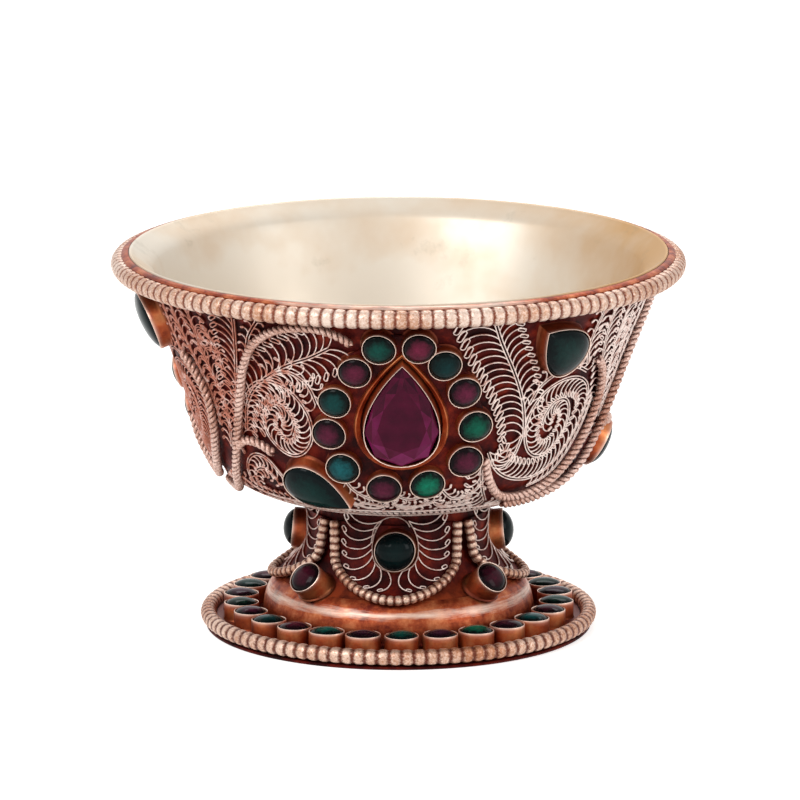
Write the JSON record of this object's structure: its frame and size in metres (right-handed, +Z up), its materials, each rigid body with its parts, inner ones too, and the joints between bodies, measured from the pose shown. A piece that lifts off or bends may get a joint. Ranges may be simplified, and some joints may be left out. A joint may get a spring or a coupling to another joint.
{
  "type": "water offering bowl",
  "caption": "Footed round metal bowl with a smooth liner, a wire-worked wall set with cabochons, a waisted stem and a spread foot.",
  "frame": {"origin": "centre of the flat underside of the foot plate, on the surface that the bowl stands on", "axes": "+Z up along the bowl's axis, -Y towards the front with its large teardrop stone, +X to the right"},
  "size_m": [0.102, 0.102, 0.0688],
  "materials": {
    "silvered_liner": "satin, warm silver wash with faint tarnish",
    "bright_copper": "rubbed copper",
    "dark_copper": "matt, darkened red-brown copper",
    "washed_wire": "copper wire with a worn silver wash",
    "red_stone": "polished dark ruby-coloured stone, nearly opaque",
    "green_stone": "polished dark green stone, nearly opaque"
  },
  "bodies": {
    "root": {"bowl_liner": "silvered_liner", "bowl_shell": "dark_copper", "rim_bead_wire": "washed_wire", "filigree_panel_1": "washed_wire", "filigree_panel_2": "washed_wire", "filigree_panel_3": "washed_wire", "medallion_setting_1": "bright_copper", "medallion_setting_2": "bright_copper", "medallion_setting_3": "bright_copper", "teardrop_bezel_1": "bright_copper", "teardrop_bezel_2": "bright_copper", "teardrop_bezel_3": "bright_copper", "teardrop_stone_1": "red_stone", "teardrop_stone_2": "red_stone", "teardrop_stone_3": "red_stone", "upper_pear_bezel_1": "bright_copper", "upper_pear_bezel_2": "bright_copper", "upper_pear_bezel_3": "bright_copper", "upper_pear_stone_1": "green_stone", "upper_pear_stone_2": "green_stone", "upper_pear_stone_3": "green_stone", "lower_pear_bezel_1": "bright_copper", "lower_pear_bezel_2": "bright_copper", "lower_pear_bezel_3": "bright_copper", "lower_pear_stone_1": "green_stone", "lower_pear_stone_2": "green_stone", "lower_pear_stone_3": "green_stone", "loop_vine_1": "washed_wire", "loop_vine_2": "washed_wire", "loop_vine_3": "washed_wire", "main_vine_1": "washed_wire", "main_vine_2": "washed_wire", "main_vine_3": "washed_wire", "stem_drum": "dark_copper", "petal_1": "washed_wire", "petal_2": "washed_wire", "petal_3": "washed_wire", "petal_4": "washed_wire", "petal_bezel_1": "bright_copper", "petal_bezel_2": "bright_copper", "petal_bezel_3": "bright_copper", "petal_bezel_4": "bright_copper", "petal_stone_1": "green_stone", "petal_stone_2": "green_stone", "petal_stone_3": "green_stone", "petal_stone_4": "green_stone", "shoulder_bezel_1": "bright_copper", "shoulder_bezel_2": "bright_copper", "shoulder_bezel_3": "bright_copper", "shoulder_bezel_4": "bright_copper", "shoulder_stone_1": "red_stone", "shoulder_stone_2": "red_stone", "shoulder_stone_3": "red_stone", "shoulder_stone_4": "red_stone", "foot_dish": "bright_copper", "foot_setting_ring": "bright_copper", "foot_bead_wire": "washed_wire", "foot_plate": "dark_copper"}
  },
  "joints": []
}
